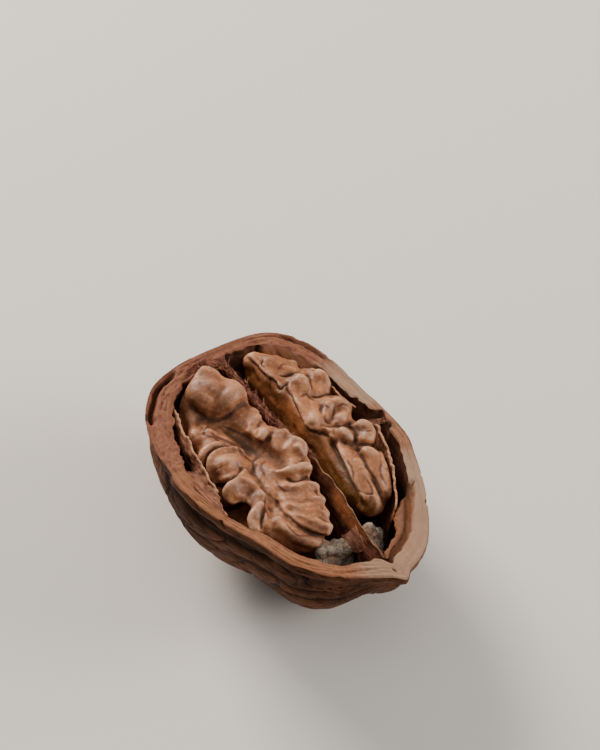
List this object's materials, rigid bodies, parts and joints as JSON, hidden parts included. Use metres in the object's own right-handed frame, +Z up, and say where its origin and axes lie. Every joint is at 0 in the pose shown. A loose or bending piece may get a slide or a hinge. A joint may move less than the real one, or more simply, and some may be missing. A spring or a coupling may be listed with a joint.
{
  "type": "cracked walnut half",
  "caption": "Half of a cracked walnut: a woody half shell lying on its back, holding its folded kernel lobes, the papery partition between them and scraps of lining.",
  "frame": {"origin": "on the surface that the half nut rests on, under the middle of its bounding box", "axes": "+X from the stalk end towards the pointed tip, +Z up, out of the open half; +Y towards the lower edge of the tilted rim"},
  "size_m": [0.042, 0.0298, 0.0191],
  "materials": {
    "shell": "matt woody shell, warm tan-brown, with long grooves",
    "kernel": "smooth golden-tan seed skin with a soft sheen and thin dark veins",
    "partition": "matt dark brown papery fibre",
    "lining": "matt brown papery skin",
    "packing": "matt pale spongy tissue"
  },
  "bodies": {
    "root": {"shell_half": "shell", "kernel_lobe_left": "kernel", "kernel_lobe_right": "kernel", "partition": "partition", "lining_left": "lining", "lining_right": "lining", "packing_left": "packing", "packing_right": "packing"}
  },
  "joints": []
}
